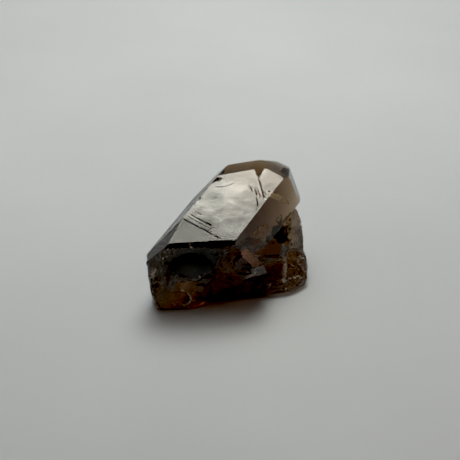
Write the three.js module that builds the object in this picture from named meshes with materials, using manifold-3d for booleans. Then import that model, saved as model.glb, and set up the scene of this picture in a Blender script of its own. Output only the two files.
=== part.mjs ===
// A smoky quartz crystal lying on its side: one thick prism with its pointed end, broken across at the root,
// with two small side crystals and rough root matter grown together with it. It is one solid.
// Millimetres, +Z up. The flat underside lies in z = 0, and the origin is under the middle of the bounding box.
import * as THREE from "three";
import { ConvexGeometry } from "three/addons/geometries/ConvexGeometry.js";
import { mergeVertices } from "three/addons/utils/BufferGeometryUtils.js";
import Module from "manifold-3d";

// ---- driving dimensions ----

// The crystal's own axes: the normal of its upper prism face, the sideways direction in that face, and the long axis.
const AXIS_UP = new THREE.Vector3(0.04577, -0.35504, 0.93373);
const AXIS_SIDE = new THREE.Vector3(0.84277, -0.48811, -0.22691);
const AXIS_LONG = new THREE.Vector3(0.53633, 0.7973, 0.27688);
const CENTRE = new THREE.Vector3(0, 0, 18.592); // a point inside the prism that every face distance is measured from

// Faces of the main crystal: degrees from the long axis, degrees around it from the upper face, and distance in mm.
const MAIN_FACES = {
  prism_top: [90, 0, 8.368],
  prism_top_front: [92.5, 0, 8.738],
  prism_right: [90, 60, 9.099],
  prism_left: [90, -60, 12.807],
  prism_left_bevel: [97.76, -47.6, 14.046],
  prism_lower_right: [90, 120, 10.125],
  prism_bottom: [90, 180, 13.2],
  prism_lower_left: [90, -120, 11.695],
  shoulder_left: [86.02, -62.79, 13.247],
  shoulder_top: [75.34, -16.07, 12.613],
  steep_top: [60, 0.11, 16.422],
  tip_top: [51.79, 0.27, 18.266],
  tip_right: [51.79, 60, 19.695],
  tip_left: [50.24, -59.24, 18.834],
  tip_bottom: [53.29, -165.14, 14.825],
  tip_lower_left: [51.79, -120, 23],
  break_lip: [115.09, 19.33, 11.783],
  break_front: [139.88, 59.58, 12.239],
  break_right: [127.48, 76.33, 11.022],
  break_left: [133.92, -90.13, 24.365],
};

// Side crystals: outward normal and distance from the origin of each face.
const SIDE_CRYSTAL_FACES = [
  [0.3495, -0.5493, 0.759, 21.612],
  [-0.3796, -0.9251, 0.0031, 10.026],
  [0.6965, 0.475, 0.5378, 8.956],
  [0.5406, -0.7794, -0.3166, 9.294],
  [0.3596, -0.69, -0.6282, 3.431],
  [-0.8216, -0.4367, 0.3664, 9.551],
  [-0.798, -0.2494, -0.5486, -5.259],
  [-0.6508, 0.7593, 0, -5.994],
];
const STEPPED_CRYSTAL_FACES = [
  [0.7667, -0.4991, 0.4039, 16.116],
  [0.7457, -0.6351, 0.2015, 13.824],
  [0.8715, -0.4726, 0.1306, 14.859],
  [-0.0152, -0.7105, -0.7036, 1.092],
  [-0.8071, -0.5549, 0.2018, 4.922],
  [0.9592, 0.1998, 0.1998, 18.969],
  [0, 0, -1, -1],
  [0, 1, 0, 6],
  [-0.2491, 0.8305, 0.4983, 3.211],
];

// Corners of the broken root matter.
const LEFT_FOOT = [
  [-20.3, -12.5, -1], [-12.4, -11.9, -1], [-6, -9, -1], [-4, 2, -1], [-12, 7, -1], [-19, 3, -1], [-22, -7, -1],
  [-20.3, -12.5, 0], [-12.4, -11.9, 0], [-22, -7, 0],
  [-21.9, -11, 2.6], [-20.9, -13, 2], [-22.6, -9.6, 6], [-22.8, -9.4, 12.8], [-22.2, -8.2, 16],
  [-21.6, -12.6, 7], [-19, -12.9, 12], [-12, 7, 8], [-17, 2, 14], [-4, -8, 8],
];
const RIGHT_UPPER_ROOT = [
  [22.6, 4, 2], [22.75, 4, 4.2], [22.35, 6.5, 8.2], [21.6, 8.4, 12.5], [20.75, 9, 16.4], [19.6, 9.6, 19],
  [18.6, 10.5, 19.6], [17.2, 2.6, 8], [14, 1, 6], [18.9, 9, 18.6], [20, 16, 12], [17, 17, 15], [8, 18, 10],
  [16, 14, 2], [20, 0, 2], [10, 0, 4], [4, 4, 12], [21, 9, 2],
];
const RIGHT_LOWER_ROOT = [
  [-6.8, -10, 0.9], [2.3, -8.5, 0.9], [10.6, -7.15, 0.9], [18, -5.8, 0.9], [21.6, -2.4, 0.8], [22.5, 2, 0.6],
  [22.4, 9, -1], [17, 14.5, -1], [6, 15.5, -1], [-6, 10, -1], [-12, 2, -1],
  [-5, -6.4, -1], [4, -5, -1], [12, -3.6, -1], [18, -1.4, -1], [21, 3.4, -1],
  [-4, -9.7, 3.4], [2.5, -8.9, 3], [11, -7.4, 2.6], [17.6, -5.9, 2.2], [22.3, -1.8, 2.8], [22.9, 3, 3.8],
  [22.2, 4.4, 6.6], [20.2, 1, 6.6], [17.6, 2.6, 9.4], [19, 14, 8], [6, 16, 8], [-8, 10, 8], [0, -8, 8],
];
const ROOT_RECESS = 0.12; // how far the upper root stays behind the right prism face

// Shell-shaped chips on the broken surfaces: a point on the surface, the outward direction there, radius and depth.
const CHIPS = [
  { at: [-10.8, -13, 15.8], out: [0.073, -0.997, -0.033], radius: 17, depth: 1 },
  { at: [-14.2, -12.85, 4.6], out: [0.073, -0.997, -0.033], radius: 4.4, depth: 1 },
  { at: [-2.2, -10.4, 6.2], out: [0.332, -0.928, -0.168], radius: 7, depth: 1.1 },
  { at: [14.4, 5.5, 13.3], out: [0.4, -0.8, 0.44], radius: 2.8, depth: 1.3 },
  { at: [18.9, -1.7, 5.05], out: [0.39, -0.6, 0.7], radius: 3, depth: 0.9 },
  { at: [20, 3.3, 7.9], out: [0.58, -0.34, 0.74], radius: 2.6, depth: 0.8 },
  { at: [19.7, 6.2, 10.7], out: [0.753, -0.6, 0.27], radius: 3.4, depth: 0.7 },
  { at: [-22.35, -10.4, 7.6], out: [-0.947, -0.322, -0.018], radius: 2.6, depth: 0.6 },
  { at: [4.8, -8.3, 3.7], out: [0.18, -0.949, 0.261], radius: 5, depth: 0.8 },
  { at: [-19.2, -13.4, 9.6], out: [-0.2, -0.98, 0], radius: 5, depth: 0.7 },
  { at: [-8.3, -12.5, 7.9], out: [0.073, -0.997, -0.033], radius: 5, depth: 0.8 },
  { at: [2, 15.6, 5], out: [-0.15, 0.98, 0.1], radius: 12, depth: 1.4 },
  { at: [-10, 6.8, 5], out: [-0.6, 0.8, 0.05], radius: 9, depth: 1.2 },
  { at: [18.6, 14.2, 6], out: [0.75, 0.65, 0.1], radius: 8, depth: 1.2 },
];

// Three-cornered notch where the upper face meets the tip: its front corner, the two corners at the edge, and the slope of its floor.
const NOTCH_FRONT = new THREE.Vector3(8.043, 8.535, 30.405);
const NOTCH_LEFT = new THREE.Vector3(6.766, 11.285, 31.513);
const NOTCH_RIGHT = new THREE.Vector3(9.883, 11.839, 31.571);
const NOTCH_SLOPE = 11; // degrees

const SHIFT_X = -0.0336; // moves the whole body so that the origin is under the middle of its box
const SHIFT_Y = -3.7528;
const HEADROOM = 60; // size of the block that the ground plane is cut with

// ---- geometry ----

const wasm = await Module();
wasm.setup();

function toSolid(geometry) {
  const bare = geometry.clone();
  bare.deleteAttribute("normal");
  bare.deleteAttribute("uv");
  const merged = mergeVertices(bare, 1e-4);
  return new wasm.Manifold(
    new wasm.Mesh({
      numProp: 3,
      vertProperties: new Float32Array(merged.attributes.position.array),
      triVerts: new Uint32Array(merged.index.array),
    }),
  );
}

function toGeometry(solid) {
  const mesh = solid.getMesh();
  const positions = new Float32Array(mesh.numVert * 3);
  for (let i = 0; i < mesh.numVert; i++)
    positions.set(mesh.vertProperties.subarray(i * mesh.numProp, i * mesh.numProp + 3), i * 3);
  const geometry = new THREE.BufferGeometry();
  geometry.setAttribute("position", new THREE.BufferAttribute(positions, 3));
  geometry.setIndex(new THREE.BufferAttribute(new Uint32Array(mesh.triVerts), 1));
  return geometry;
}

// A face given by its angles in the crystal's own axes, as a plane with its normal pointing out.
function crystalFace([polar, around, distance]) {
  const p = THREE.MathUtils.degToRad(polar);
  const a = THREE.MathUtils.degToRad(around);
  const normal = new THREE.Vector3()
    .addScaledVector(AXIS_UP, Math.sin(p) * Math.cos(a))
    .addScaledVector(AXIS_SIDE, Math.sin(p) * Math.sin(a))
    .addScaledVector(AXIS_LONG, Math.cos(p))
    .normalize();
  return { normal, offset: distance + normal.dot(CENTRE) };
}

function flatFace([x, y, z, offset]) {
  const normal = new THREE.Vector3(x, y, z);
  const length = normal.length();
  return { normal: normal.divideScalar(length), offset: offset / length };
}

// The corners of the convex body that a list of faces encloses.
function cornersOf(faces) {
  const corners = [];
  for (let i = 0; i < faces.length; i++)
    for (let j = i + 1; j < faces.length; j++)
      for (let k = j + 1; k < faces.length; k++) {
        const a = faces[i], b = faces[j], c = faces[k];
        const bc = new THREE.Vector3().crossVectors(b.normal, c.normal);
        const det = a.normal.dot(bc);
        if (Math.abs(det) < 1e-7) continue;
        const point = bc.multiplyScalar(a.offset)
          .addScaledVector(new THREE.Vector3().crossVectors(c.normal, a.normal), b.offset)
          .addScaledVector(new THREE.Vector3().crossVectors(a.normal, b.normal), c.offset)
          .divideScalar(det);
        if (faces.some((f) => f.normal.dot(point) - f.offset > 1e-5)) continue;
        if (corners.some((q) => q.distanceTo(point) < 1e-3)) continue;
        corners.push(point);
      }
  return corners;
}

const convexBody = (faces) => toSolid(new ConvexGeometry(cornersOf(faces)));
const convexLump = (points) => toSolid(new ConvexGeometry(points.map((p) => new THREE.Vector3(...p))));

// A block on one side of a plane, large enough to trim the body with.
function halfSpace(normal, offset) {
  const block = new THREE.BoxGeometry(4 * HEADROOM, 4 * HEADROOM, 4 * HEADROOM);
  block.translate(0, 0, 2 * HEADROOM);
  block.applyQuaternion(new THREE.Quaternion().setFromUnitVectors(new THREE.Vector3(0, 0, 1), normal));
  block.translate(normal.x * offset, normal.y * offset, normal.z * offset);
  return toSolid(block);
}

const mainFaces = Object.values(MAIN_FACES).map(crystalFace);
const rightFace = crystalFace(MAIN_FACES.prism_right);

let body = convexBody(mainFaces);
body = body.add(convexLump(LEFT_FOOT));
body = body.add(
  convexLump(RIGHT_UPPER_ROOT).subtract(halfSpace(rightFace.normal, rightFace.offset - ROOT_RECESS)),
);
body = body.add(convexLump(RIGHT_LOWER_ROOT));
body = body.add(convexBody(STEPPED_CRYSTAL_FACES.map(flatFace)));
body = body.add(convexBody(SIDE_CRYSTAL_FACES.map(flatFace)));

for (const chip of CHIPS) {
  const out = new THREE.Vector3(...chip.out).normalize();
  const centre = new THREE.Vector3(...chip.at).addScaledVector(out, chip.radius - chip.depth);
  const ball = new THREE.SphereGeometry(chip.radius, chip.radius > 10 ? 64 : 32, chip.radius > 10 ? 32 : 16);
  ball.applyQuaternion(new THREE.Quaternion().setFromUnitVectors(new THREE.Vector3(1, 0, 0), out));
  ball.translate(centre.x, centre.y, centre.z);
  body = body.subtract(toSolid(ball));
}

// The notch is the wedge above a sloping floor, between two upright walls that meet at its front corner.
const slope = THREE.MathUtils.degToRad(NOTCH_SLOPE);
const floorNormal = new THREE.Vector3()
  .addScaledVector(AXIS_UP, Math.cos(slope))
  .addScaledVector(AXIS_LONG, Math.sin(slope))
  .normalize();
const wallNormal = (corner, side) =>
  new THREE.Vector3()
    .subVectors(corner, NOTCH_FRONT)
    .cross(AXIS_UP)
    .multiplyScalar(side)
    .normalize();
const leftWall = wallNormal(NOTCH_LEFT, -1);
const rightWall = wallNormal(NOTCH_RIGHT, 1);
const throughFront = (normal) => ({ normal, offset: normal.dot(NOTCH_FRONT) });
body = body.subtract(
  convexBody([
    throughFront(floorNormal.clone().negate()),
    throughFront(leftWall),
    throughFront(rightWall),
    { normal: AXIS_UP.clone().normalize(), offset: AXIS_UP.dot(NOTCH_FRONT) + 4 },
    { normal: AXIS_LONG.clone().normalize(), offset: AXIS_LONG.dot(NOTCH_FRONT) + 9 },
  ]),
);

// Everything below the ground plane is cut away flat.
const room = new THREE.BoxGeometry(2 * HEADROOM, 2 * HEADROOM, HEADROOM);
room.translate(0, 0, HEADROOM / 2);
body = body.intersect(toSolid(room));

const crystal = new THREE.Mesh(
  toGeometry(body),
  new THREE.MeshStandardMaterial({ color: 0x3a2618, roughness: 0.08, metalness: 0 }),
);
crystal.name = "crystal";
crystal.position.set(SHIFT_X, SHIFT_Y, 0);

const group = new THREE.Group();
group.add(crystal);

export default group;
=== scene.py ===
import math

import bmesh
import bpy
import numpy as np
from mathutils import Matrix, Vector


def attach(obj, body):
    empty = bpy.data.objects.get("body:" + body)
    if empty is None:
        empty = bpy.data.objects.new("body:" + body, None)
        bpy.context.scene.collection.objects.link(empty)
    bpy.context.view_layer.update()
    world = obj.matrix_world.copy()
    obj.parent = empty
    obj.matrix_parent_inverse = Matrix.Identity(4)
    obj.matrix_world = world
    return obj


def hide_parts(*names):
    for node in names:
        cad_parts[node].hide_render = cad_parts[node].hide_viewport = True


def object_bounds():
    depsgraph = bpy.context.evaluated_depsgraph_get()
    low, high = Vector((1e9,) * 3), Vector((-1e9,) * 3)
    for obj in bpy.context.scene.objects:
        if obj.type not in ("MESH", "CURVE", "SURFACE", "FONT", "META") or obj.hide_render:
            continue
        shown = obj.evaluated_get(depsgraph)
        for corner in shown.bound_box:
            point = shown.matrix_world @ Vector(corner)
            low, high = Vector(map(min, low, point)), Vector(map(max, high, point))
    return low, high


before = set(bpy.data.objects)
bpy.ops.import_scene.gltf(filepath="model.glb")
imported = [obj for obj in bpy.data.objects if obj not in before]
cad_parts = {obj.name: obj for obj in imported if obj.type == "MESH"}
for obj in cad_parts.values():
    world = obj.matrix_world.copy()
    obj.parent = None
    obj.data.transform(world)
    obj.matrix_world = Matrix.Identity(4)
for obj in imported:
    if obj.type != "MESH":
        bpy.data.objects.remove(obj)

CAD_BOX = [[float(x) for x in corner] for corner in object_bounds()]

MM = 0.001
SHIFT = np.array([-0.0336, -3.7528, 0.0])  # from the crystal's own coordinates to the shared frame, mm
CELL = 0.33  # mesh step, mm

# ---------------------------------------------------------------- shape, in mm

AXIS_UP = np.array([0.04577, -0.35504, 0.93373])
AXIS_SIDE = np.array([0.84277, -0.48811, -0.22691])
AXIS_LONG = np.array([0.53633, 0.7973, 0.27688])
CENTRE = np.array([0.0, 0.0, 18.592])

# degrees from the long axis, degrees around it from the upper face, distance from CENTRE
GROWN_FACES = {
    "prism_top": (90, 0, 8.368),
    "prism_top_front": (92.5, 0, 8.738),
    "prism_right": (90, 60, 9.099),
    "prism_left": (90, -60, 12.807),
    "prism_left_bevel": (97.76, -47.6, 14.046),
    "prism_lower_right": (90, 120, 10.125),
    "prism_bottom": (90, 180, 13.2),
    "prism_lower_left": (90, -120, 11.695),
    "shoulder_left": (86.02, -62.79, 13.247),
    "shoulder_top": (75.34, -16.07, 12.613),
    "steep_top": (60, 0.11, 16.422),
    "tip_top": (51.79, 0.27, 18.266),
    "tip_right": (51.79, 60, 19.695),
    "tip_left": (50.24, -59.24, 18.834),
    "tip_bottom": (53.29, -165.14, 14.825),
    "tip_lower_left": (51.79, -120, 23),
}
BREAK_FACES = {
    "lip": (115.09, 19.33, 11.783),
    "front": (139.88, 59.58, 12.239),
    "right": (127.48, 76.33, 11.022),
    "left": (133.92, -90.13, 24.365),
}
SIDE_CRYSTAL = [
    (0.3495, -0.5493, 0.759, 21.612),
    (-0.3796, -0.9251, 0.0031, 10.026),
    (0.6965, 0.475, 0.5378, 8.956),
    (0.5406, -0.7794, -0.3166, 9.294),
    (0.3596, -0.69, -0.6282, 3.431),
    (-0.8216, -0.4367, 0.3664, 9.551),
    (-0.798, -0.2494, -0.5486, -5.259),
    (-0.6508, 0.7593, 0.0, -5.994),
]
STEPPED_CRYSTAL = [
    (0.68, -0.52, 0.52, 17.06),
    (0.487, -0.829, -0.279, 5.606),
    (0.8715, -0.4726, 0.1306, 14.859),
    (-0.0152, -0.7105, -0.7036, 1.092),
    (-0.8071, -0.5549, 0.2018, 4.922),
    (0.9592, 0.1998, 0.1998, 18.969),
    (0.0, 0.0, -1.0, -1.0),
    (0.0, 1.0, 0.0, 6.0),
    (-0.2491, 0.8305, 0.4983, 3.211),
]
LEFT_FOOT = [
    (-20.3, -12.5, -1), (-12.4, -11.9, -1), (-6, -9, -1), (-4, 2, -1), (-12, 7, -1), (-19, 3, -1), (-22, -7, -1),
    (-20.3, -12.5, 0), (-12.4, -11.9, 0), (-22, -7, 0),
    (-21.9, -11, 2.6), (-20.9, -13, 2), (-22.6, -9.6, 6), (-22.8, -9.4, 12.8), (-22.2, -8.2, 16), (-22.78, -12.2, 16.6), (-22.8, -11.9, 13.2),
    (-21.6, -12.6, 7), (-19, -12.9, 12), (-12, 7, 8), (-17, 2, 14), (-4, -8, 8),
]
RIGHT_UPPER_ROOT = [
    (22.6, 4, 2), (22.75, 4, 4.2), (22.35, 6.5, 8.2), (21.6, 8.4, 12.5), (20.75, 9, 16.4), (19.6, 9.6, 19),
    (18.6, 10.5, 19.6), (17.2, 2.6, 8), (14, 1, 6), (18.9, 9, 18.6), (20, 16, 12), (17, 17, 15), (8, 18, 10),
    (16, 14, 2), (20, 0, 2), (10, 0, 4), (4, 4, 12), (21, 9, 2),
]
RIGHT_LOWER_ROOT = [
    (-6.8, -10, 0.9), (2.3, -8.5, 0.9), (10.6, -7.15, 0.9), (18, -5.8, 0.9), (21.6, -2.4, 0.8), (22.5, 2, 0.6),
    (22.4, 9, -1), (17, 14.5, -1), (6, 15.5, -1), (-6, 10, -1), (-12, 2, -1),
    (-5, -6.4, -1), (4, -5, -1), (12, -3.6, -1), (18, -1.4, -1), (21, 3.4, -1),
    (-4, -9.7, 3.4), (2.5, -8.9, 3), (11, -7.4, 2.6), (17.6, -5.9, 2.2), (22.3, -1.8, 2.8), (22.9, 3, 3.8),
    (22.2, 4.4, 6.6), (20.2, 1, 6.6), (17.6, 2.6, 9.4), (19, 14, 8), (6, 16, 8), (-8, 10, 8), (0, -8, 8),
]
ROOT_RECESS = 0.8
# point on the surface, outward direction, radius, depth
CHIPS = [
    ((-10.8, -13, 18.2), (0.073, -0.94, -0.33), 17, 0.7),
    ((-14.2, -12.85, 4.6), (0.073, -0.997, -0.033), 4.4, 1),
    ((-2.2, -10.4, 6.2), (0.332, -0.928, -0.168), 7, 1.1),
    ((14.4, 5.5, 13.3), (0.4, -0.8, 0.44), 3.1, 2.2),
    ((18.9, -1.7, 5.05), (0.39, -0.6, 0.7), 3, 0.9),
    ((20, 3.3, 7.9), (0.58, -0.34, 0.74), 2.6, 0.8),
    ((19.7, 6.2, 10.7), (0.753, -0.6, 0.27), 3.4, 0.7),
    ((-22.35, -10.4, 7.6), (-0.947, -0.322, -0.018), 2.6, 0.6),
    ((4.8, -8.3, 3.7), (0.18, -0.949, 0.261), 5, 0.8),
    ((-19.2, -13.4, 9.6), (-0.2, -0.98, 0), 5, 0.7),
    ((-8.3, -12.5, 7.9), (0.073, -0.997, -0.033), 5, 0.8),
    ((2, 15.6, 5), (-0.15, 0.98, 0.1), 12, 1.4),
    ((-10, 6.8, 5), (-0.6, 0.8, 0.05), 9, 1.2),
    ((18.6, 14.2, 6), (0.75, 0.65, 0.1), 8, 1.2),
]
NOTCH_FRONT = np.array([8.043, 8.535, 30.405])
NOTCH_LEFT = np.array([6.766, 11.285, 31.513])
NOTCH_RIGHT = np.array([9.883, 11.839, 31.571])
NOTCH_SLOPE = 16.0

# Growth lines and hairline cracks on the upper face: two ends, half width and depth.
GROOVES = [
    ((-12.86, -5.36, 26.15), (-2.27, -11.21, 23.40), 0.26, 0.140),
    ((-11.15, -3.73, 26.68), (-3.77, -8.16, 24.64), 0.18, 0.060),
    ((-11.81, -4.38, 26.47), (-4.30, -8.79, 24.42), 0.18, 0.050),
    ((-8.95, -4.87, 26.14), (-4.32, -7.42, 24.94), 0.20, 0.070),
    ((-10.08, -2.75, 27.00), (-7.34, -4.18, 26.33), 0.18, 0.050),
    ((-8.22, -7.45, 25.12), (-4.30, -9.46, 24.17), 0.18, 0.055),
    ((-6.99, -8.92, 24.51), (-3.75, -10.73, 23.66), 0.18, 0.045),
    ((-4.30, 5.00, 29.67), (-1.11, 5.15, 29.57), 0.22, 0.040),
    ((-1.11, 5.15, 29.57), (1.12, 6.56, 29.99), 0.22, 0.040),
    ((7.99, 8.53, 30.41), (9.58, 1.81, 27.77), 0.27, 0.140),
    ((6.90, 5.38, 29.26), (7.52, 2.35, 28.08), 0.25, 0.110),
    ((7.19, 2.65, 28.21), (7.84, -1.28, 26.68), 0.22, 0.090),
    ((7.57, 5.41, 29.24), (8.42, 1.75, 27.81), 0.21, 0.080),
    ((5.79, 5.81, 29.48), (6.26, 3.73, 28.67), 0.22, 0.070),
    ((5.16, 6.76, 29.87), (5.56, 4.83, 29.12), 0.18, 0.040),
    ((9.44, 4.37, 28.75), (10.24, 2.96, 28.18), 0.22, 0.060),
    ((-5.09, 0.95, 28.17), (-3.31, 1.83, 28.41), 0.22, 0.030),
]
SUTURE = 9  # the line where the upper face's two halves meet
# Small nicks along the edges and pits in the upper face: place and radius.
NICKS = [
    ((-3.35, 7.49, 30.66), 0.75),
    ((-4.46, 6.78, 30.42), 0.45),
    ((-2.52, 7.85, 30.75), 0.4),
    ((-8.39, 1.11, 28.45), 0.45),
    ((10.83, 4.34, 28.80), 0.30),
    ((9.72, 4.54, 28.94), 0.26),
]


# Tiny steps on the broken surfaces whose flat floors face up: place in the picture frame, and radius.
LEDGES = [
    ((205.5, 278.5), 1.0), ((201.0, 277.0), 0.6), ((209.0, 276.5), 0.7), ((193.0, 283.0), 0.55), ((210.8, 249.0), 0.55),
    ((232.8, 259.3), 0.6), ((232.8, 264.8), 0.6), ((152.0, 283.0), 0.5), ((219.0, 275.0), 0.5), ((165.0, 278.0), 0.8),
    ((168.5, 270.0), 0.6), ((181.0, 290.5), 0.55), ((184.5, 291.8), 0.55), ((188.0, 294.2), 0.55), ((190.3, 297.5), 0.55),
    ((190.5, 300.8), 0.6), ((187.0, 303.6), 0.65), ((183.0, 305.6), 0.6), ((298.8, 283.5), 0.55), ((281.5, 279.5), 0.7),
    ((246.5, 275.5), 0.5), ((274.0, 261.5), 0.5), ((277.5, 263.5), 0.5),
]


def unit(v):
    v = np.asarray(v, float)
    return v / np.linalg.norm(v)


def crystal_plane(polar, around, distance):
    p, a = math.radians(polar), math.radians(around)
    n = unit(math.sin(p) * math.cos(a) * AXIS_UP + math.sin(p) * math.sin(a) * AXIS_SIDE + math.cos(p) * AXIS_LONG)
    return n, distance + float(n @ CENTRE)


class Planes:
    """The convex body inside a list of (normal, offset)."""

    def __init__(self, planes):
        self.n = np.array([unit(n) for n, _ in planes])
        self.d = np.array([d for _, d in planes])

    def __call__(self, p):
        return (p @ self.n.T - self.d).max(1)


def faces_of(rows):
    out = []
    for x, y, z, d in rows:
        length = math.sqrt(x * x + y * y + z * z)
        out.append((np.array([x, y, z]) / length, d / length))
    return Planes(out)


def hull_of(points):
    bm = bmesh.new()
    for p in points:
        bm.verts.new(p)
    bmesh.ops.convex_hull(bm, input=bm.verts)
    middle = np.mean(np.array(points, float), 0)
    found = []
    for f in bm.faces:
        if f.calc_area() < 1e-6:
            continue
        n = np.array(f.normal)
        q = np.array(f.verts[0].co)
        if n @ (middle - q) > 0:
            n = -n
        found.append((n, float(n @ q)))
    bm.free()
    return Planes(found)


class Noise:
    """Smooth gradient noise, about -0.7 to 0.7."""

    def __init__(self, seed):
        rng = np.random.default_rng(seed)
        self.perm = rng.permutation(256)
        g = rng.normal(size=(256, 3))
        self.grad = g / np.linalg.norm(g, axis=1, keepdims=True)

    def __call__(self, p):
        i = np.floor(p).astype(np.int64)
        f = p - i
        u = f * f * f * (f * (f * 6 - 15) + 10)
        out = np.zeros(len(p))
        for dx in (0, 1):
            a = self.perm[(i[:, 0] + dx) & 255]
            wx = u[:, 0] if dx else 1 - u[:, 0]
            for dy in (0, 1):
                b = self.perm[(a + i[:, 1] + dy) & 255]
                wy = wx * (u[:, 1] if dy else 1 - u[:, 1])
                for dz in (0, 1):
                    c = self.perm[(b + i[:, 2] + dz) & 255]
                    w = wy * (u[:, 2] if dz else 1 - u[:, 2])
                    g = self.grad[c]
                    out += w * (
                        (f[:, 0] - dx) * g[:, 0] + (f[:, 1] - dy) * g[:, 1] + (f[:, 2] - dz) * g[:, 2]
                    )
        return out


PLANE = {k: crystal_plane(*v) for k, v in GROWN_FACES.items()}
top_n, top_d = PLANE["prism_top"]
front_n, front_d = PLANE["prism_top_front"]
right_n, right_d = PLANE["prism_right"]

# The part of the upper face to the right of its suture leans 1 degree to the right.
suture = unit(np.subtract(GROOVES[SUTURE][1], GROOVES[SUTURE][0]))
lean = np.cross(suture, top_n)
lean = lean if lean[0] > 0 else -lean
second_n = unit(math.cos(math.radians(1.0)) * top_n + math.sin(math.radians(1.0)) * lean)
second_d = float(second_n @ np.array(GROOVES[SUTURE][0]))

others = Planes([v for k, v in PLANE.items() if k not in ("prism_top", "prism_top_front")])
breaks = Planes([crystal_plane(*v) for v in BREAK_FACES.values()])
side_crystal = faces_of(SIDE_CRYSTAL)
stepped_crystal = faces_of(STEPPED_CRYSTAL)
foot = hull_of(LEFT_FOOT)
upper_root = hull_of(RIGHT_UPPER_ROOT)
lower_root = hull_of(RIGHT_LOWER_ROOT)

EYE = np.array([0.0, -217.89, 171.16])  # the camera
TILT = math.radians(55)
FORWARD = np.array([0, math.sin(TILT), -math.cos(TILT)])
UPWARD = np.array([0, math.cos(TILT), math.sin(TILT)])


def rays(spots):
    xy = np.array(spots, float)
    ray = FORWARD + np.array([1.0, 0, 0]) * ((xy[:, :1] - 230) / 950) + UPWARD * ((230 - xy[:, 1:2]) / 950)
    return ray / np.linalg.norm(ray, axis=1, keepdims=True)


def slab(spots, n, d, thick):
    """A slab whose outer face lies on a plane, with its corners at these picture points."""
    ray = rays(spots)
    face = EYE + ray * ((d - EYE @ n) / (ray @ n))[:, None]
    return hull_of(np.vstack([face, face - thick * n]).tolist())


# The right-hand prism face runs on below the break, down to the hollow and the grown-on crystals.
RIGHT_RUN = [
    slab([(236.5, 246.5), (250, 247), (262, 241), (268, 223), (280, 205), (262, 203)], right_n, right_d + 0.05, 4.0),
    slab([(268, 223), (282, 221.5), (296.5, 222), (298.5, 209), (296, 203), (285, 196), (268, 205)], right_n, right_d + 0.05, 3.0),
]

slope = math.radians(NOTCH_SLOPE)
notch_floor = unit(math.cos(slope) * AXIS_UP + math.sin(slope) * AXIS_LONG)
wall_l = -unit(np.cross(NOTCH_LEFT - NOTCH_FRONT, AXIS_UP))
wall_r = unit(np.cross(NOTCH_RIGHT - NOTCH_FRONT, AXIS_UP))
notch = Planes([(n, float(n @ NOTCH_FRONT)) for n in (-notch_floor, wall_l, wall_r)])

# shallow horizontal ribs on the stepped crystal's front wall
RIB_N, RIB_D = unit(STEPPED_CRYSTAL[1][:3]), STEPPED_CRYSTAL[1][3] / np.linalg.norm(STEPPED_CRYSTAL[1][:3])
RIB_ALONG = unit(np.cross(RIB_N, np.cross(unit(STEPPED_CRYSTAL[0][:3]), RIB_N)))
RIB_ACROSS, RIB_END = unit(STEPPED_CRYSTAL[0][:3]), STEPPED_CRYSTAL[0][3] / np.linalg.norm(STEPPED_CRYSTAL[0][:3]) - 0.6

chip_c = np.array([np.array(at) + unit(out) * (r - d) for at, out, r, d in CHIPS])
chip_r = np.array([r for _, _, r, _ in CHIPS], float)
chip_o = np.array([np.array(at) + 0.55 * r * unit((-0.5, 0.1, 0.85)) for at, _, r, _ in CHIPS])
nick_c = np.array([c for c, _ in NICKS])
nick_r = np.array([r for _, r in NICKS])

warp = [Noise(11), Noise(12), Noise(13)]
rock = [Noise(21), Noise(22), Noise(23)]
growth = [Noise(31), Noise(32)]
under = Noise(41)


def grooves(p):
    deep = np.zeros(len(p))
    for a, b, w, d in GROOVES:
        a, b = np.array(a), np.array(b)
        e = unit(b - a)
        s = np.cross(e, top_n)
        q = p - a
        along, across = q @ e, q @ s
        length = np.linalg.norm(b - a)
        ends = np.clip(np.minimum(along + 0.1, length + 0.1 - along) / min(1.2, 0.3 * length), 0, 1)
        deep = np.maximum(deep, d * np.clip(1 - np.abs(across) / w, 0, 1) * ends)
    return deep


def spheres(p, centres, radii):
    """How deep each point is inside the nearest of some balls; balls that no point is near are skipped."""
    best = np.full(len(p), -1e9)
    if not len(p):
        return best
    reach = np.linalg.norm(centres - np.clip(centres, p.min(0), p.max(0)), axis=1)
    for c, r in zip(centres[reach < radii + 1.5], radii[reach < radii + 1.5]):
        q = p - c
        best = np.maximum(best, r - np.sqrt(np.maximum((q * q).sum(1), 1e-12)))
    return best


small_c, small_r = np.zeros((0, 3)), np.zeros(0)  # filled below
ledge_c, ledge_r, ledge_n = np.zeros((0, 3)), np.zeros(0), np.zeros((0, 3))


def ledges(p):
    best = np.full(len(p), -1e9)
    if not len(p) or not len(ledge_c):
        return best
    reach = np.linalg.norm(ledge_c - np.clip(ledge_c, p.min(0), p.max(0)), axis=1) < ledge_r + 1.5
    for c, r, n in zip(ledge_c[reach], ledge_r[reach], ledge_n[reach]):
        q = p - c
        best = np.maximum(best, np.minimum(r - np.sqrt(np.maximum((q * q).sum(1), 1e-12)), q @ n))
    return best


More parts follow.
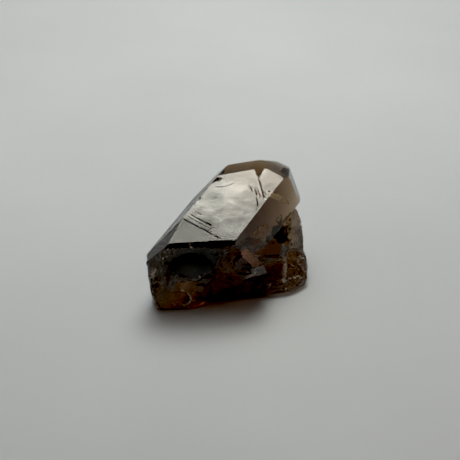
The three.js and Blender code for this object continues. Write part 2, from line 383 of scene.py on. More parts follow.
def pieces_of(p, fine):
    """Distances of the grown bodies and of the broken ones."""
    top = np.maximum(np.maximum(p @ top_n - top_d, p @ front_n - front_d), p @ second_n - second_d)
    grown = np.maximum(np.maximum(top, others(p)), -notch(p))
    upper = np.maximum(upper_root(p), p @ right_n - (right_d - ROOT_RECESS))
    broken = np.minimum(np.minimum(foot(p), upper), lower_root(p))
    torn = breaks(p)
    one, two = side_crystal(p), stepped_crystal(p)
    bites = spheres(p, chip_c, chip_r)
    run = np.minimum(RIGHT_RUN[0](p), RIGHT_RUN[1](p))
    if not fine:
        return grown, np.maximum(grown, np.minimum(torn, run)), broken, one, two, bites
    near = np.abs(top) < 1.0
    if near.any():
        q = p[near]
        bands = np.stack([q @ AXIS_LONG / 0.55, q @ AXIS_SIDE / 9.0, np.zeros(len(q))], 1)
        wave = 0.030 * (growth[0](q / 3.7) + 0.7) + 0.009 * (growth[1](q / 1.5) + 0.7) + 0.003 * (growth[1](bands) + 0.7)
        grown[near] = np.maximum(grown[near], top[near] + wave)
    nicked = spheres(p, nick_c, nick_r)
    grown = np.maximum(grown, nicked)
    main = np.maximum(grown, np.minimum(torn, run))
    rib = p @ RIB_ALONG / 0.9
    two = np.maximum(two, np.where(p @ RIB_ACROSS < RIB_END, p @ RIB_N - RIB_D + 0.05 * (1 + np.cos(2 * math.pi * rib)), -1e9))
    near = (np.abs(broken) < 1.6) | (np.abs(torn) < 1.6) | (np.abs(bites) < 1.2)
    if near.any():
        q = p[near]
        w = np.stack([n(q / 1.7) for n in warp], 1)
        rough = 0.17 * (rock[0](q / 3.1) + 0.45) + 0.12 * (rock[1](q / 1.25) + 0.45) + 0.06 * (rock[2](q / 0.62) + 0.45)
        rough = np.maximum(rough, 0)
        q = q + 0.55 * w
        worn = np.full(len(q), -1e9)
        for c, r, o in zip(chip_c, chip_r, chip_o):
            bent = q if r < 13 else q - 0.47 * w  # the largest shell face is the smoothest
            gap = np.sqrt(((bent - c) ** 2).sum(1))
            ring = np.sqrt(((bent - o) ** 2).sum(1))
            ripple = (0.03 if r < 13 else 0.004) * (1 + np.cos(2 * math.pi * ring / 1.7)) if r > 4 else 0.0
            worn = np.maximum(worn, r - gap - ripple)
        bites[near] = worn
        small = spheres(q, small_c, small_r)
        broken[near] = np.maximum(broken[near] + rough, small)
        cut = np.maximum(torn[near] + 0.5 * rough, small)
        main[near] = np.maximum(grown[near], np.minimum(cut, run[near] + 0.3 * rough))
    return grown, main, broken, one, two, bites


def body(p, fine=True):
    out = np.empty(len(p))
    step = 12000 if fine else 60000
    for lo in range(0, len(p), step):
        q = p[lo : lo + step]
        _, main, broken, one, two, bites = pieces_of(q, fine)
        f = np.maximum(np.minimum(np.minimum(main, broken), np.minimum(one, two)), bites)
        ground = -q[:, 2]
        if fine:
            f = np.maximum(f, ledges(q))
            ground = ground + 0.10 * np.maximum(under(q / 3.7) + 0.25, 0)
        out[lo : lo + step] = np.maximum(f, ground)
    return out


def slope_of(fn, p, eps=0.01):
    g = np.empty_like(p)
    for k in range(3):
        e = np.zeros(3)
        e[k] = eps
        g[:, k] = fn(p + e) - fn(p - e)
    return g / np.maximum(np.linalg.norm(g, axis=1, keepdims=True), 1e-12)


def scatter_chips(count, seed):
    """Small shell-shaped chips spread over the broken surfaces only."""
    rng = np.random.default_rng(seed)
    p = rng.uniform((-23, -14, 0.2), (23, 19, 24), (26000, 3))
    coarse = lambda q: body(q, False)
    for _ in range(4):
        f = coarse(p)
        near = np.abs(f) < 6
        p, f = p[near], f[near]
        p = p - slope_of(coarse, p, 0.05) * f[:, None]
    f = coarse(p)
    grown, main, broken, one, two, bites = pieces_of(p, False)
    keep = (np.abs(f) < 0.02) & (np.abs(grown) > 0.5) & (np.abs(one) > 0.25) & (np.abs(two) > 0.25) & (p[:, 2] > 0.3)
    p = p[keep]
    n = slope_of(coarse, p, 0.05)
    dish = chip_r[0] - np.linalg.norm(p - chip_c[0], axis=1)
    keep = (dish < -0.6) & (n @ right_n < 0.985)
    p, n = p[keep], n[keep]
    centres, radii, taken = [], [], np.zeros((0, 3))
    for q, m in zip(p, n):
        if len(centres) >= count:
            break
        big = rng.random()
        r = 0.7 + 2.6 * big**2.4
        if len(taken) and np.min(np.linalg.norm(taken - q, axis=1)) < 0.55 + 0.25 * r:
            continue
        taken = np.vstack([taken, q])
        m = unit(m + rng.normal(0, 0.33, 3))
        depth = rng.uniform(0.10, 0.20) * r ** 0.75
        at = q + m * (r - depth)
        gap = float(at @ right_n - right_d)
        if abs(gap) < r:  # where it would cut the right-hand face
            turn = np.linspace(0, 2 * math.pi, 16, endpoint=False)
            u = unit(np.cross(right_n, (0, 0, 1)))
            ring = at - gap * right_n + math.sqrt(r * r - gap * gap) * (
                np.cos(turn)[:, None] * u + np.sin(turn)[:, None] * np.cross(right_n, u)
            )
            ring = np.vstack([ring, at - gap * right_n])
            if (np.abs(body(ring, False)) < 0.08).any():
                continue
        centres.append(at)
        radii.append(r)
    return np.array(centres), np.array(radii)


small_c, small_r = scatter_chips(300, 5)

# ---------------------------------------------------------------- places seen in the picture


def seen(spots):
    """Where the camera's rays through these picture points meet the body: points, outward normals and rays."""
    ray = rays(spots)
    coarse = lambda q: body(q, False)
    p = EYE + 215 * ray
    for _ in range(90):
        p = p + ray * (0.8 * coarse(p))[:, None]
    return p, slope_of(coarse, p, 0.02), ray


FACING_LAMP = unit((0.058, -0.27, 0.96))  # a small flat with this normal shows the key light to the camera
FACING_FILL = unit((0.316, -0.576, 0.754))  # and with this one the fill light
rng = np.random.default_rng(17)
spots = [xy for xy, _ in LEDGES]
sizes = [r for _, r in LEDGES]
for _ in range(46):  # sparkling steps on the rough right side
    spots.append((rng.uniform(284, 303), rng.uniform(228, 290)))
    sizes.append(rng.uniform(0.35, 0.62))
for _ in range(22):  # and a few on the foot
    spots.append((rng.uniform(150, 232), rng.uniform(276, 306)))
    sizes.append(rng.uniform(0.35, 0.55))
place, out_n, ray = seen(spots)
ledge_c = place - 0.15 * out_n
ledge_r = np.array(sizes)
ledge_n = np.array(
    [
        unit((FACING_LAMP if x > 284 and k % 2 else FACING_FILL) + rng.normal(0, 0.04 if k < len(LEDGES) else 0.12, 3))
        for k, (x, _) in enumerate(spots)
    ]
)


# ---------------------------------------------------------------- meshing


def contour(fn, coarse, lo, hi, h):
    """Dual contouring: one point in each cell that the surface crosses, set on its sharp edge or corner."""
    count = np.ceil((hi - lo) / h).astype(int)
    axes = [lo[k] + h * np.arange(count[k] + 1) for k in range(3)]
    grid = np.stack(np.meshgrid(*axes, indexing="ij"), -1).reshape(-1, 3)
    f = coarse(grid)
    near = np.abs(f) < 1.1
    f[near] = fn(grid[near])
    f = f.reshape(count + 1)
    cells = int(np.prod(count))
    stride = np.array([count[1] * count[2], count[2], 1])
    sums = np.zeros((13, cells))
    rings = []
    for axis in range(3):
        e = np.zeros(3, int)
        e[axis] = 1
        a = f[tuple(slice(0, -1) if k == axis else slice(None) for k in range(3))]
        b = f[tuple(slice(1, None) if k == axis else slice(None) for k in range(3))]
        at = np.argwhere((a < 0) != (b < 0))
        fa = f[tuple(at.T)]
        fb = f[tuple((at + e).T)]
        p0 = lo + h * at
        t0, t1 = np.zeros(len(at)), np.ones(len(at))
        g0, g1 = fa.copy(), fb.copy()
        t = g0 / (g0 - g1)
        for step in range(5):
            t = t0 + (t1 - t0) * np.clip(g0 / (g0 - g1), 0.02, 0.98) if step % 2 == 0 else 0.5 * (t0 + t1)
            g = fn(p0 + t[:, None] * (h * e))
            low = (g < 0) == (g0 < 0)
            t0, g0 = np.where(low, t, t0), np.where(low, g, g0)
            t1, g1 = np.where(low, t1, t), np.where(low, g1, g)
        t = t0 + (t1 - t0) * g0 / (g0 - g1)
        p = p0 + t[:, None] * (h * e)
        n = slope_of(fn, p, 0.006)
        d = (n * p).sum(1)
        rows = [n[:, 0] ** 2, n[:, 0] * n[:, 1], n[:, 0] * n[:, 2], n[:, 1] ** 2, n[:, 1] * n[:, 2], n[:, 2] ** 2]
        rows += [n[:, 0] * d, n[:, 1] * d, n[:, 2] * d, p[:, 0], p[:, 1], p[:, 2], np.ones(len(p))]
        b1, b2 = (axis + 1) % 3, (axis + 2) % 3
        around = []
        for s1, s2 in ((-1, -1), (0, -1), (0, 0), (-1, 0)):
            c = at.copy()
            c[:, b1] += s1
            c[:, b2] += s2
            around.append(c @ stride)
        for c in around:
            for k, r in enumerate(rows):
                sums[k] += np.bincount(c, r, cells)
        quad = np.stack(around, 1)
        quad[fa > 0] = quad[fa > 0][:, ::-1]
        rings.append(quad)
    used = np.flatnonzero(sums[12] > 0)
    s = sums[:, used]
    middle = (s[9:12] / s[12]).T
    m = np.empty((len(used), 3, 3))
    m[:, 0, 0], m[:, 0, 1], m[:, 0, 2] = s[0], s[1], s[2]
    m[:, 1, 0], m[:, 1, 1], m[:, 1, 2] = s[1], s[3], s[4]
    m[:, 2, 0], m[:, 2, 1], m[:, 2, 2] = s[2], s[4], s[5]
    rest = s[6:9].T - np.einsum("nij,nj->ni", m, middle)
    val, vec = np.linalg.eigh(m)
    inverse = np.where(val > 0.02 * val[:, 2:3], 1 / np.maximum(val, 1e-9), 0)
    move = np.einsum("nij,nj,nkj,nk->ni", vec, inverse, vec, rest)
    points = middle + move
    corner = np.stack(np.unravel_index(used, count), 1) * h + lo
    points = np.clip(points, corner + 0.01 * h, corner + 0.99 * h)
    index = np.full(cells, -1)
    index[used] = np.arange(len(used))
    quads = index[np.vstack(rings)]
    # each four-sided face is split along the diagonal that lies closer to the surface
    da = np.abs(fn(0.5 * (points[quads[:, 0]] + points[quads[:, 2]])))
    db = np.abs(fn(0.5 * (points[quads[:, 1]] + points[quads[:, 3]])))
    first = da <= db
    tris = np.where(
        first[:, None],
        quads[:, [0, 1, 2, 0, 2, 3]],
        quads[:, [1, 2, 3, 1, 3, 0]],
    ).reshape(-1, 3)
    return points, tris


def largest_shell(points, tris):
    """Drops loose specks: keeps the connected surface with the most points."""
    label = np.arange(len(points))
    while True:
        low = label[tris].min(1)
        new = label.copy()
        for k in range(3):
            np.minimum.at(new, tris[:, k], low)
        new = new[new]
        if (new == label).all():
            break
        label = new
    names, sizes = np.unique(label, return_counts=True)
    keep = label == names[np.argmax(sizes)]
    index = np.cumsum(keep) - 1
    return points[keep], index[tris[keep[tris[:, 0]]]], len(names)


def refine(points, tris, chosen):
    """Splits the chosen triangles in four, and their neighbours so that no gap opens."""
    ends = np.stack([tris, np.roll(tris, -1, 1)], -1)
    ends.sort(-1)
    key = ends[..., 0].astype(np.int64) * len(points) + ends[..., 1]
    names, at = np.unique(key.ravel(), return_inverse=True)
    at = at.reshape(-1, 3)
    marked = np.zeros(len(names), bool)
    marked[at[chosen].ravel()] = True
    number = np.cumsum(marked) - 1 + len(points)
    pair = np.stack([names // len(points), names % len(points)], 1)[marked]
    points = np.vstack([points, 0.5 * (points[pair[:, 0]] + points[pair[:, 1]])])
    split = marked[at]
    new = [tris[split.sum(1) == 0]]
    for k in (1, 2, 3):
        rows = np.flatnonzero(split.sum(1) == k)
        t, m, e = tris[rows], split[rows], number[at[rows]]
        # turned so that the first edge is split, and with two of them the second as well
        turn = np.where(m[:, 0] & (m[:, 1] | (k == 1)), 0, np.where(m[:, 1] & (m[:, 2] | (k == 1)), 1, 2))
        order = (turn[:, None] + np.arange(3)) % 3
        t, e = np.take_along_axis(t, order, 1), np.take_along_axis(e, order, 1)
        (a, b, c), (ab, bc, ca) = t.T, e.T
        if k == 1:
            new += [np.stack(x, 1) for x in ((a, ab, c), (ab, b, c))]
        elif k == 2:
            new += [np.stack(x, 1) for x in ((a, ab, c), (ab, bc, c), (ab, b, bc))]
        else:
            new += [np.stack(x, 1) for x in ((a, ab, ca), (ab, b, bc), (ca, bc, c), (ab, bc, ca))]
    return points, np.vstack(new)


def near_groove(p, reach):
    found = np.zeros(len(p), bool)
    for a, b, w, _ in GROOVES:
        a, b = np.array(a), np.array(b)
        t = np.clip((p - a) @ (b - a) / ((b - a) @ (b - a)), 0, 1)
        found |= np.linalg.norm(p - a - t[:, None] * (b - a), axis=1) < w + reach
    return found


low = np.array([-23.5, -14.6, -0.77])
high = np.array([23.6, 22.1, 32.3])
points, tris = contour(body, lambda p: body(p, False), low, high, CELL)
points, tris, shells = largest_shell(points, tris)
for reach in (0.35, 0.12):
    points, tris = refine(points, tris, near_groove(points[tris].mean(1), reach))
deep = grooves(points)
on_top = np.abs(points @ top_n - top_d) < 0.25
points = points - top_n * np.where(on_top, deep, 0)[:, None]

points = np.clip(points + SHIFT, np.array(CAD_BOX[0]) / MM + 1e-3, np.array(CAD_BOX[1]) / MM - 1e-3) - SHIFT

mesh = bpy.data.meshes.new("smoky_crystal")
mesh.vertices.add(len(points))
mesh.vertices.foreach_set("co", ((points + SHIFT) * MM).astype(np.float32).ravel())
mesh.loops.add(len(tris) * 3)
mesh.loops.foreach_set("vertex_index", tris.astype(np.int32).ravel())
mesh.polygons.add(len(tris))
mesh.polygons.foreach_set("loop_start", np.arange(0, 3 * len(tris), 3, dtype=np.int32))
mesh.update(calc_edges=True)
mesh.validate()
mesh.polygons.foreach_set("use_smooth", np.ones(len(mesh.polygons), bool))

grown, main, broken, one, two, bites = pieces_of(points, True)
smoothness = np.minimum(np.minimum(np.abs(grown), np.abs(one)), np.abs(two))
smoothness = np.where(on_top & (deep > 0), 0, smoothness)
rough_at = np.clip((smoothness - 0.015) / 0.05, 0, 1)
step_side = unit(STEPPED_CRYSTAL[2][:3])
on_side = np.abs(points @ step_side - STEPPED_CRYSTAL[2][3] / np.linalg.norm(STEPPED_CRYSTAL[2][:3])) < 0.03
rough_at = np.where(on_side & (np.abs(two) < 0.03), 1.0, rough_at)
shell_faces = np.abs(bites) < 0.02  # the large conchoidal faces are glassy
matt_at = np.where(shell_faces, 0.12, 1.0) * rough_at
for key in ("prism_left", "prism_left_bevel", "shoulder_left"):  # these grown faces are worn to a satin
    worn = np.abs(points @ PLANE[key][0] - PLANE[key][1]) < 0.03
    matt_at = np.where(worn & (np.abs(grown) < 0.03), 0.75, matt_at)


def inside(xy, outline, soft):
    """1 inside an outline of picture points, fading to 0 within soft of its edge."""
    o = np.array(outline, float)
    a, b = o, np.roll(o, -1, 0)
    odd_side = np.zeros(len(xy), bool)
    gap = np.full(len(xy), 1e9)
    for (x0, y0), (x1, y1) in zip(a, b):
        e = np.array([x1 - x0, y1 - y0])
        t = np.clip(((xy - (x0, y0)) @ e) / (e @ e), 0, 1)
        gap = np.minimum(gap, np.linalg.norm(xy - (x0, y0) - t[:, None] * e, axis=1))
        cross = (y0 > xy[:, 1]) != (y1 > xy[:, 1])
        at = x0 + (xy[:, 1] - y0) * (x1 - x0) / np.where(y1 == y0, 1e-9, y1 - y0)
        odd_side ^= cross & (xy[:, 0] < at)
    return np.where(odd_side, np.clip(gap / soft, 0, 1), 0)


def spread(marks):
    """Values painted on the points that face the camera, from outlines in the picture: (outline, soft edge, amount)."""
    rel = points - EYE
    far = rel @ FORWARD
    xy = np.stack([230 + 950 * rel[:, 0] / far, 230 - 950 * (rel @ UPWARD) / far], 1)
    value = np.zeros(len(points))
    for outline, soft, amount in marks:
        o = np.array(outline)
        pick = np.flatnonzero(((xy > o.min(0)) & (xy < o.max(0))).all(1))
        share = inside(xy[pick], outline, soft)
        pick, share = pick[share > 0], share[share > 0]
        if not len(pick):
            continue
        hit, _, _ = seen(xy[pick])
        front = np.linalg.norm(hit - points[pick], axis=1) < 1.3
        value[pick] = np.maximum(value[pick], np.where(front, share * amount, 0))
    return value


def dot(x, y, r):
    return [(x + r * math.cos(k * math.pi / 4), y + r * math.sin(k * math.pi / 4)) for k in range(8)]


# painted shade: outlines of the shaded front hollow, the dark cavity on the right and the underside edge in shadow
# along the ground, given a near-black base colour
SHADE_PATCHES = [
    ([(168, 252), (182, 248.5), (205, 247), (231, 247), (229, 256), (222, 268), (214, 279), (196, 285), (176, 284), (163, 274), (161, 262)], 8.0, 1.0),
    ([(271, 226), (279, 223), (288, 226), (290, 234), (288, 241), (282, 245), (275, 243), (270.5, 236)], 2.0, 1.0),
    ([(214, 300), (240, 294), (262, 292), (262, 298), (240, 302), (214, 306)], 3.0, 0.8),
]
# partly real frost, partly painted highlights: pale patches for the lit arc on the foot, the lit side facet of the
# stepped crystal, the lit lower edge of the small crystal, the bright line in the cavity and the glints on the rough
# right side
FROST_AND_HIGHLIGHTS = [
    ([(180, 288.6), (186, 290.6), (191, 294.6), (192.6, 300), (189, 304.6), (182, 307.2), (181, 305), (186, 302.8), (189.4, 299.4), (188.4, 296.2), (184.8, 293), (180, 290.8)], 0.9, 0.9),
    ([(281.5, 258), (287, 256), (288, 266), (286, 282), (280.5, 281), (283, 270)], 1.6, 0.35),
    ([(244, 278.2), (256, 271.2), (257, 272.8), (245, 280)], 0.8, 0.7),
    ([(284.6, 228), (286.2, 228), (283.4, 243), (281.8, 243)], 0.7, 0.5),
    ([(296, 208), (301, 212), (305, 230), (306, 250), (302, 250), (300, 232), (295, 216)], 2.0, 0.22),
]
# pale dots that paint glints on the small steps of the foot and the break
FROST_AND_HIGHLIGHTS += [(dot(x, y, r), 0.8, a) for x, y, r, a in (
    (200, 277, 2.0, 0.9), (196.5, 278.5, 1.4, 0.7), (203, 276, 1.5, 0.8), (193, 283, 1.2, 0.7), (211, 249, 1.2, 0.6),
    (233, 259, 1.4, 0.7), (233, 265, 1.3, 0.7), (152, 283, 1.2, 0.6), (219, 275, 1.1, 0.5), (165, 278, 1.4, 0.5),
)]
painted_shade_at, frost_and_highlight_at = spread(SHADE_PATCHES), spread(FROST_AND_HIGHLIGHTS)
film_at = np.clip(1.5 - np.abs(points @ top_n - top_d) / 0.1, 0, 1) * (np.abs(grown) < 0.03)
film_at = np.where(np.abs(points @ front_n - front_d) < 0.06, 0.6, film_at)
for label, values in (("painted_shade", painted_shade_at), ("frost_and_highlight", frost_and_highlight_at), ("film", film_at)):
    attribute = mesh.attributes.new(label, "FLOAT", "POINT")
    attribute.data.foreach_set("value", values.astype(np.float32))
attribute = mesh.attributes.new("broken", "FLOAT", "POINT")
attribute.data.foreach_set("value", matt_at.astype(np.float32))
below = np.clip((0.45 - points[:, 2]) / 0.3, 0, 1)
attribute = mesh.attributes.new("underside", "FLOAT", "POINT")
attribute.data.foreach_set("value", below.astype(np.float32))

# Edges of the grown faces stay crisp; on the broken parts only the ridges between chips do.
a, b, c = (points[tris[:, k]] for k in range(3))
face_n = np.cross(b - a, c - a)
face_n /= np.maximum(np.linalg.norm(face_n, axis=1, keepdims=True), 1e-12)
bm = bmesh.new()
bm.from_mesh(mesh)
bm.faces.ensure_lookup_table()
odd = 0
for e in bm.edges:
    if len(e.link_faces) != 2:
        odd += 1
        continue
    u, v = (x.index for x in e.verts)
    i, j = (x.index for x in e.link_faces)
    limit = 26.0 if max(rough_at[u], rough_at[v]) > 0.5 else 5.0
    if face_n[i] @ face_n[j] < math.cos(math.radians(limit)):
        e.smooth = False
bm.to_mesh(mesh)
bm.free()
print("crystal:", len(points), "points,", len(tris), "triangles,", shells, "shells,", odd, "odd edges")

crystal = bpy.data.objects.new("smoky_crystal", mesh)
bpy.context.scene.collection.objects.link(crystal)


# ---------------------------------------------------------------- material


def node(tree, kind, **values):
    n = tree.nodes.new(kind)
    for k, v in values.items():
        if k in n.inputs:
            n.inputs[k].default_value = v
        else:
            setattr(n, k, v)
    return n


def quartz_material():
    mat = bpy.data.materials.new("smoky_quartz")
    mat.use_nodes = True
    t = mat.node_tree
    t.nodes.clear()
    out = node(t, "ShaderNodeOutputMaterial")
    glass = node(t, "ShaderNodeBsdfPrincipled")
    glass.inputs["Transmission Weight"].default_value = 1.0
    glass.inputs["IOR"].default_value = 1.544
    smoke = node(t, "ShaderNodeVolumeAbsorption")
    smoke.inputs["Color"].default_value = (0.50, 0.345, 0.138, 1)
    smoke.inputs["Density"].default_value = 262.0
    t.links.new(glass.outputs["BSDF"], out.inputs["Surface"])
    t.links.new(smoke.outputs["Volume"], out.inputs["Volume"])

    where = node(t, "ShaderNodeTexCoord")
    broken_at = node(t, "ShaderNodeAttribute", attribute_name="broken")

    # base colour: nearly clear, with faint smoky clouds
    cloud = node(t, "ShaderNodeTexNoise")
    cloud.inputs["Scale"].default_value = 130.0
    cloud.inputs["Detail"].default_value = 4.0
    tint = node(t, "ShaderNodeValToRGB")
    tint.color_ramp.elements[0].position = 0.35
    tint.color_ramp.elements[0].color = (0.86, 0.83, 0.79, 1)
    tint.color_ramp.elements[1].position = 0.65
    tint.color_ramp.elements[1].color = (1, 0.99, 0.97, 1)
    t.links.new(where.outputs["Object"], cloud.inputs["Vector"])
    t.links.new(cloud.outputs["Fac"], tint.inputs["Fac"])
    # painted shade: the marked zones get a near-black base colour that lets almost nothing through, standing for the
    # shade on the front hollow, the dark cavity and the underside edge; frosted spots are milky, and the same pale
    # colour also paints highlights and glints
    painted_shade_at = node(t, "ShaderNodeAttribute", attribute_name="painted_shade")
    painted_shade_mix = node(t, "ShaderNodeMix", data_type="RGBA")
    # near-black colour of the painted shade
    painted_shade_mix.inputs[7].default_value = (0.004, 0.002, 0.001, 1)
    t.links.new(painted_shade_at.outputs["Fac"], painted_shade_mix.inputs[0])
    t.links.new(tint.outputs["Color"], painted_shade_mix.inputs[6])
    frost_and_highlight_attr = node(t, "ShaderNodeAttribute", attribute_name="frost_and_highlight")
    speckle = node(t, "ShaderNodeTexNoise")
    speckle.inputs["Scale"].default_value = 1700.0
    speckle.inputs["Detail"].default_value = 3.0
    t.links.new(where.outputs["Object"], speckle.inputs["Vector"])
    speck_gain = node(t, "ShaderNodeMapRange")
    speck_gain.inputs["From Min"].default_value = 0.36
    speck_gain.inputs["From Max"].default_value = 0.60
    speck_gain.inputs["To Min"].default_value = 0.25
    t.links.new(speckle.outputs["Fac"], speck_gain.inputs["Value"])
    frost_and_highlight_amount = node(t, "ShaderNodeMath", operation="MULTIPLY")
    t.links.new(frost_and_highlight_attr.outputs["Fac"], frost_and_highlight_amount.inputs[0])
    t.links.new(speck_gain.outputs["Result"], frost_and_highlight_amount.inputs[1])
    frost = node(t, "ShaderNodeMath", operation="MULTIPLY")
    frost.inputs[1].default_value = 0.022
    t.links.new(broken_at.outputs["Fac"], frost.inputs[0])
    cloudy = node(t, "ShaderNodeMath", operation="MAXIMUM")
    t.links.new(frost_and_highlight_amount.outputs["Value"], cloudy.inputs[0])
    t.links.new(frost.outputs["Value"], cloudy.inputs[1])
    clear = node(t, "ShaderNodeMath", operation="SUBTRACT")
    clear.inputs[0].default_value = 1.0
    t.links.new(cloudy.outputs["Value"], clear.inputs[1])
    t.links.new(clear.outputs["Value"], glass.inputs["Transmission Weight"])
    # pale base colour for the frost and the painted highlights
    pale_frost_and_highlight = node(t, "ShaderNodeMix", data_type="RGBA")
    pale_frost_and_highlight.inputs[7].default_value = (0.92, 0.80, 0.64, 1)
    t.links.new(frost_and_highlight_amount.outputs["Value"], pale_frost_and_highlight.inputs[0])
    t.links.new(painted_shade_mix.outputs[2], pale_frost_and_highlight.inputs[6])
    t.links.new(pale_frost_and_highlight.outputs[2], glass.inputs["Base Color"])

    # roughness: polished growth faces, matter on the breaks
    patch = node(t, "ShaderNodeTexNoise")
    patch.inputs["Scale"].default_value = 420.0
    patch.inputs["Detail"].default_value = 3.0
    t.links.new(where.outputs["Object"], patch.inputs["Vector"])
    fine = node(t, "ShaderNodeMapRange")
    fine.inputs["To Min"].default_value = 0.01
    fine.inputs["To Max"].default_value = 0.05
    t.links.new(patch.outputs["Fac"], fine.inputs["Value"])
    matt = node(t, "ShaderNodeMapRange")
    matt.inputs["To Min"].default_value = 0.10
    matt.inputs["To Max"].default_value = 0.36
    t.links.new(patch.outputs["Fac"], matt.inputs["Value"])
    mix = node(t, "ShaderNodeMix", data_type="FLOAT")
    t.links.new(broken_at.outputs["Fac"], mix.inputs[0])
    t.links.new(fine.outputs["Result"], mix.inputs[2])
    t.links.new(matt.outputs["Result"], mix.inputs[3])
    under_at = node(t, "ShaderNodeAttribute", attribute_name="underside")
    ground = node(t, "ShaderNodeMix", data_type="FLOAT")
    ground.inputs[3].default_value = 0.55
    t.links.new(under_at.outputs["Fac"], ground.inputs[0])
    t.links.new(mix.outputs[0], ground.inputs[2])
    t.links.new(ground.outputs[0], glass.inputs["Roughness"])

    # bump: soft growth relief everywhere, small splintery facets on the breaks
    grain = node(t, "ShaderNodeTexNoise")
    grain.inputs["Scale"].default_value = 1500.0
    grain.inputs["Detail"].default_value = 4.0
    t.links.new(where.outputs["Object"], grain.inputs["Vector"])
    splinter = node(t, "ShaderNodeTexVoronoi", feature="F1", distance="CHEBYCHEV")
    splinter.inputs["Scale"].default_value = 1250.0
    t.links.new(where.outputs["Object"], splinter.inputs["Vector"])
    soft = node(t, "ShaderNodeBump")
    soft.inputs["Distance"].default_value = 0.0001
    soft.inputs["Strength"].default_value = 0.02
    t.links.new(grain.outputs["Fac"], soft.inputs["Height"])
    gain = node(t, "ShaderNodeMapRange")
    gain.inputs["From Min"].default_value = 0.2
    gain.inputs["To Min"].default_value = 0.0
    gain.inputs["To Max"].default_value = 0.55
    t.links.new(broken_at.outputs["Fac"], gain.inputs["Value"])
    bump = node(t, "ShaderNodeBump")
    bump.inputs["Distance"].default_value = 0.00035
    t.links.new(gain.outputs["Result"], bump.inputs["Strength"])
    t.links.new(splinter.outputs["Distance"], bump.inputs["Height"])
    t.links.new(soft.outputs["Normal"], bump.inputs["Normal"])
    t.links.new(bump.outputs["Normal"], glass.inputs["Normal"])

    # a thin patchy film, drawn out along the growth lines, brightens the polished faces unevenly
    stretch = node(t, "ShaderNodeMapping")
    stretch.inputs["Rotation"].default_value = (0, 0, math.radians(-56))
    stretch.inputs["Scale"].default_value = (0.55, 1.0, 1.0)
    t.links.new(where.outputs["Object"], stretch.inputs["Vector"])
    film = node(t, "ShaderNodeTexNoise")
    film.inputs["Scale"].default_value = 300.0
    film.inputs["Detail"].default_value = 5.0
    film.inputs["Roughness"].default_value = 0.55
    t.links.new(stretch.outputs["Vector"], film.inputs["Vector"])
    amount = node(t, "ShaderNodeMapRange")
    amount.inputs["From Min"].default_value = 0.38
    amount.inputs["From Max"].default_value = 0.66
    amount.inputs["To Min"].default_value = 0.0
    amount.inputs["To Max"].default_value = 0.85
    t.links.new(film.outputs["Fac"], amount.inputs["Value"])
    filmed = node(t, "ShaderNodeAttribute", attribute_name="film")
    only = node(t, "ShaderNodeMath", operation="MULTIPLY")
    t.links.new(amount.outputs["Result"], only.inputs[0])
    t.links.new(filmed.outputs["Fac"], only.inputs[1])
    t.links.new(only.outputs["Value"], glass.inputs["Coat Weight"])
    glass.inputs["Coat Roughness"].default_value = 0.04
    glass.inputs["Coat IOR"].default_value = 1.45
    return mat


mesh.materials.append(quartz_material())
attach(crystal, "root")
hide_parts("crystal")

# ---------------------------------------------------------------- healed cracks and veils inside, the golden one with a painted glint


def veil_material(name, dark, light, scale, cover, rough):
    """A thin cloudy sheet: two tones mixed by noise, torn at its rim."""
    mat = bpy.data.materials.new(name)
    mat.use_nodes = True
    t = mat.node_tree
    bsdf = t.nodes["Principled BSDF"]
    bsdf.inputs["Roughness"].default_value = rough
    bsdf.inputs["Specular IOR Level"].default_value = 0.1
    where = node(t, "ShaderNodeTexCoord")
    n = node(t, "ShaderNodeTexNoise")
    n.inputs["Scale"].default_value = scale
    n.inputs["Detail"].default_value = 5.0
    t.links.new(where.outputs["Object"], n.inputs["Vector"])
    tone = node(t, "ShaderNodeValToRGB")
    tone.color_ramp.elements[0].position = 0.38
    tone.color_ramp.elements[0].color = (*dark, 1)
    tone.color_ramp.elements[1].position = 0.66
    tone.color_ramp.elements[1].color = (*light, 1)
    t.links.new(n.outputs["Fac"], tone.inputs["Fac"])
    t.links.new(tone.outputs["Color"], bsdf.inputs["Base Color"])
    rim = node(t, "ShaderNodeAttribute", attribute_name="rim")
    torn = node(t, "ShaderNodeMath", operation="SUBTRACT")
    t.links.new(n.outputs["Fac"], torn.inputs[0])
    t.links.new(rim.outputs["Fac"], torn.inputs[1])
    alpha = node(t, "ShaderNodeMapRange")
    alpha.inputs["From Min"].default_value = 0.50 - cover
    alpha.inputs["From Max"].default_value = 0.66 - cover
    t.links.new(torn.outputs["Value"], alpha.inputs["Value"])
    t.links.new(alpha.outputs["Result"], bsdf.inputs["Alpha"])
    return mat


